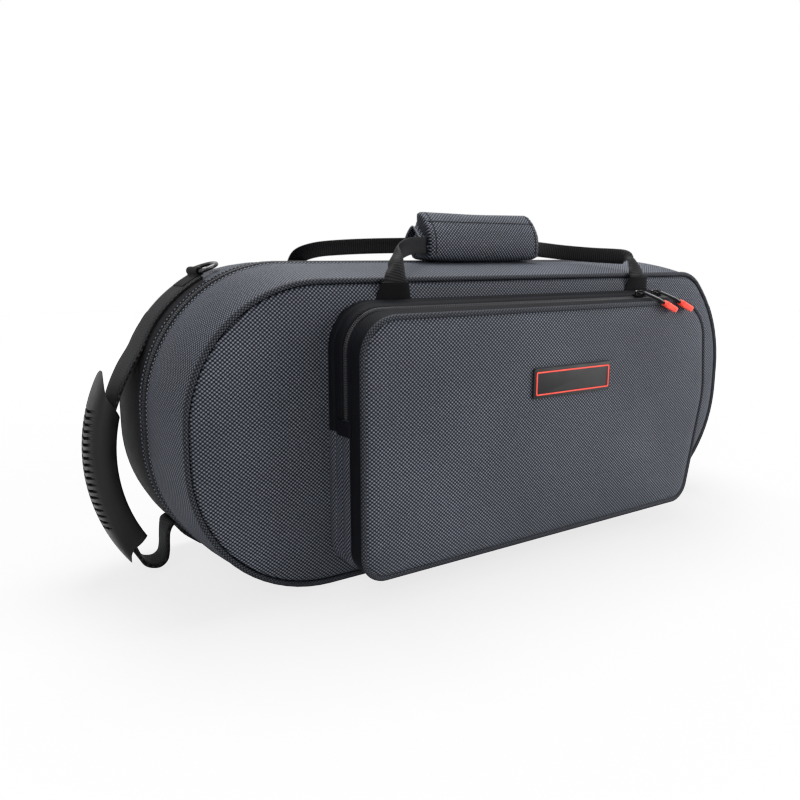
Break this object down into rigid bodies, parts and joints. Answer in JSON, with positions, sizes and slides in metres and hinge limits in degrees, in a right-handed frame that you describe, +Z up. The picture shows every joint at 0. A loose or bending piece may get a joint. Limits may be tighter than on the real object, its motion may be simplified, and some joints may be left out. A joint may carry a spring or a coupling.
{
  "type": "trumpet case",
  "caption": "Soft-sided semi-rigid trumpet case with rounded ends, zipped clamshell body, front pocket, padded top handle and a ribbed grip on its bell end.",
  "frame": {"origin": "under the middle of the overall box, on the floor that the case stands on with its long edge down", "axes": "+X along the case from the round bell end towards the narrow end, -Y out of the front pocket, +Z up"},
  "size_m": [0.6347, 0.2177, 0.288],
  "materials": {
    "nylon": "woven",
    "black_nylon": "woven",
    "piping": "ribbed",
    "foam": "plush lining over foam",
    "webbing": "ribbed",
    "coil": "moulded coil",
    "rubber": "matte",
    "tip": "matte",
    "slider_metal": "satin",
    "ring_metal": "satin",
    "label": "matte, bare"
  },
  "bodies": {
    "base": {"base_shell": "nylon", "base_piping": "piping", "base_foam": "foam", "base_zip_tape": "black_nylon", "base_zip_chain": "coil", "base_hinge_tape": "black_nylon", "cradle_strap": "webbing", "end_patch": "black_nylon", "end_strap": "webbing", "end_anchor": "webbing", "end_ring_tab": "webbing", "side_ring_tab": "webbing", "rear_anchor_left": "webbing", "rear_anchor_right": "webbing"},
    "lid": {"lid_shell": "nylon", "lid_piping": "piping", "lid_foam": "foam", "lid_zip_tape": "black_nylon", "lid_zip_chain": "coil", "lid_hinge_tape": "black_nylon", "front_anchor_left": "webbing", "front_anchor_right": "webbing", "pocket_gusset": "nylon", "pocket_panel": "nylon", "pocket_piping": "piping", "pocket_zip_tape": "black_nylon", "pocket_zip_chain": "coil", "pocket_end_tab_left": "black_nylon", "pocket_end_tab_right": "black_nylon"},
    "pocket_flap": {"flap_gusset": "nylon", "flap_panel": "nylon", "flap_piping": "piping", "flap_zip_tape": "black_nylon", "flap_zip_chain": "coil", "label": "label"},
    "slider_left": {"pocket_slider_left": "slider_metal"},
    "slider_right": {"pocket_slider_right": "slider_metal"},
    "pull_left": {"pocket_pull_left": "slider_metal", "pocket_pull_tip_left": "tip"},
    "pull_right": {"pocket_pull_right": "slider_metal", "pocket_pull_tip_right": "tip"},
    "slider_upper": {"zip_slider_upper": "slider_metal"},
    "slider_lower": {"zip_slider_lower": "slider_metal"},
    "pull_upper": {"zip_pull_upper": "slider_metal", "zip_pull_tip_upper": "tip"},
    "pull_lower": {"zip_pull_lower": "slider_metal", "zip_pull_tip_lower": "tip"},
    "front_handle": {"front_loop": "webbing", "front_wrap": "nylon"},
    "rear_handle": {"rear_loop": "webbing", "rear_wrap": "nylon"},
    "end_handle": {"grip_strap": "webbing", "end_grip": "rubber"},
    "ring_at_bell": {"end_ring": "ring_metal"},
    "ring_at_side": {"side_ring": "ring_metal"}
  },
  "joints": [
    {"name": "lid_hinge", "type": "hinge", "parent": "base", "child": "lid", "pos_m": [0.0141, 0.0247, 0], "axis": [1, 0, 0], "range_deg": [0, 180]},
    {"name": "pocket_fold", "type": "hinge", "parent": "lid", "child": "pocket_flap", "pos_m": [0.0141, -0.0976, 0.136], "axis": [1, 0, 0], "range_deg": [0, 60]},
    {"name": "slider_left_run", "type": "slide", "parent": "pocket_flap", "child": "slider_left", "axis": [1, 0, 0], "range_m": [-0.25, 0.004]},
    {"name": "slider_right_run", "type": "slide", "parent": "pocket_flap", "child": "slider_right", "axis": [1, 0, 0], "range_m": [-0.004, 0.006]},
    {"name": "pull_left_swing", "type": "hinge", "parent": "slider_left", "child": "pull_left", "pos_m": [0.1381, -0.07498, 0.21734], "axis": [0, -0.9762, -0.2169], "range_deg": [0, 110]},
    {"name": "pull_right_swing", "type": "hinge", "parent": "slider_right", "child": "pull_right", "pos_m": [0.1601, -0.07498, 0.21734], "axis": [0, -0.9762, -0.2169], "range_deg": [0, 110]},
    {"name": "slider_upper_run", "type": "hinge", "parent": "base", "child": "slider_upper", "pos_m": [0.1811, 0.0247, 0.13696], "axis": [0, -1, 0], "range_deg": [-14, 20]},
    {"name": "slider_lower_run", "type": "hinge", "parent": "base", "child": "slider_lower", "pos_m": [0.1911, 0.0247, 0.118], "axis": [0, -1, 0], "range_deg": [-46, 20]},
    {"name": "pull_upper_swing", "type": "hinge", "parent": "slider_upper", "child": "pull_upper", "pos_m": [0.3049, 0.0247, 0.18202], "axis": [0, 1, 0], "range_deg": [-120, 0]},
    {"name": "pull_lower_swing", "type": "hinge", "parent": "slider_lower", "child": "pull_lower", "pos_m": [0.29654, 0.0247, 0.05713], "axis": [0, 1, 0], "range_deg": [-120, 0]},
    {"name": "front_handle_fold", "type": "hinge", "parent": "lid", "child": "front_handle", "pos_m": [0.0141, -0.0543, 0.2285], "axis": [1, 0, 0], "range_deg": [0, 140]},
    {"name": "rear_handle_fold", "type": "hinge", "parent": "base", "child": "rear_handle", "pos_m": [0.0141, 0.1085, 0.235], "axis": [1, 0, 0], "range_deg": [-140, 0]},
    {"name": "end_handle_swing", "type": "hinge", "parent": "base", "child": "end_handle", "pos_m": [-0.28889, 0.0647, 0.15655], "axis": [0.1622, 0, -0.9868], "range_deg": [-15, 15]},
    {"name": "ring_at_bell_swing", "type": "hinge", "parent": "base", "child": "ring_at_bell", "pos_m": [-0.22372, 0.0647, 0.23867], "axis": [0, -1, 0], "range_deg": [0, 140]},
    {"name": "ring_at_side_swing", "type": "hinge", "parent": "base", "child": "ring_at_side", "pos_m": [0.31238, 0.0647, 0.14054], "axis": [0, -1, 0], "range_deg": [0, 150]}
  ]
}
